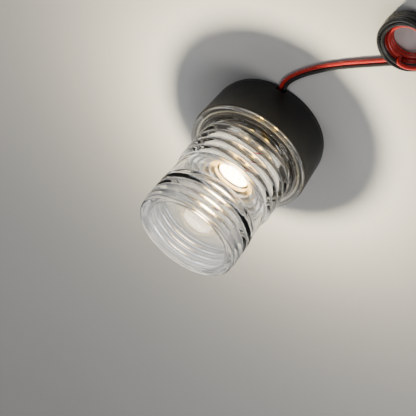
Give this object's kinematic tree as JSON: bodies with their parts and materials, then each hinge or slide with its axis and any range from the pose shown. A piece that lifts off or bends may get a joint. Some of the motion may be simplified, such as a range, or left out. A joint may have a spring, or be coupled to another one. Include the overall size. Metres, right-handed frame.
{
  "type": "navigation light",
  "caption": "Small all-round navigation light: black round surface-mount base, clear ribbed drum lens that screws on, lit LED post inside, and red and black supply leads.",
  "frame": {"origin": "centre of the mounting face, under the gasket", "axes": "+Z along the lens, from the mounting face to the lens end; the leads leave the base towards -Y"},
  "size_m": [0.1051, 0.1383, 0.0832],
  "materials": {
    "base_plastic": "satin black moulded plastic",
    "gasket_rubber": "matt black rubber",
    "seal_rubber": "smooth black rubber",
    "circuit_board": "green solder mask",
    "steel_screws": "bright stainless steel",
    "ferrite": "dark grey ferrite",
    "chip_black": "black epoxy",
    "capacitor_sleeve": "dark blue sleeve",
    "cover_plastic": "fine matt black plastic",
    "post_aluminium": "turned and milled aluminium",
    "led_board": "white solder mask",
    "tinned_copper": "tinned strands",
    "red_insulation": "smooth red insulation",
    "black_insulation": "smooth black insulation",
    "tie_nylon": "black nylon",
    "led_phosphor": "yellow phosphor in a white frame, lit warm white",
    "clear_lens": "polished clear polycarbonate",
    "clear_prism": "polished clear polycarbonate"
  },
  "bodies": {
    "base": {"base_housing": "base_plastic", "mounting_gasket": "gasket_rubber", "cable_grommet": "gasket_rubber", "driver_board": "circuit_board", "board_screws": "steel_screws", "drum_inductor": "ferrite", "bridge_rectifier": "chip_black", "driver_chip": "chip_black", "input_capacitor": "capacitor_sleeve", "output_capacitor": "capacitor_sleeve", "chip_resistors": "chip_black", "driver_cover": "cover_plastic", "cover_screws": "steel_screws", "led_post": "post_aluminium", "post_screws": "steel_screws", "side_board_1": "led_board", "side_board_2": "led_board", "side_board_3": "led_board", "side_board_4": "led_board", "side_board_5": "led_board", "side_board_6": "led_board", "side_leds_1": "led_phosphor", "side_leds_2": "led_phosphor", "side_leds_3": "led_phosphor", "side_leds_4": "led_phosphor", "side_leds_5": "led_phosphor", "side_leds_6": "led_phosphor", "top_board": "led_board", "top_leds": "led_phosphor", "feed_wire_red": "red_insulation", "feed_wire_black": "black_insulation", "red_lead": "red_insulation", "black_lead": "black_insulation", "red_tail": "red_insulation", "black_tail": "black_insulation", "red_tip": "tinned_copper", "black_tip": "tinned_copper", "lead_coil": "black_insulation", "coil_tie": "tie_nylon"},
    "seal": {"lens_seal": "seal_rubber"},
    "lens": {"fresnel_lens": "clear_lens", "prism_ring": "clear_prism"}
  },
  "joints": [
    {"name": "lens_lift", "type": "slide", "parent": "base", "child": "seal", "axis": [0, 0, 1], "range_m": [0, 0.00605]},
    {"name": "lens_turn", "type": "hinge", "parent": "seal", "child": "lens", "pos_m": [0, 0, 0.0247], "axis": [0, 0, 1], "range_deg": [0, 240]}
  ],
  "couplings": [
    {"joint": "lens_lift", "follows": "lens_turn", "m_per_rad": 0.0014324}
  ]
}
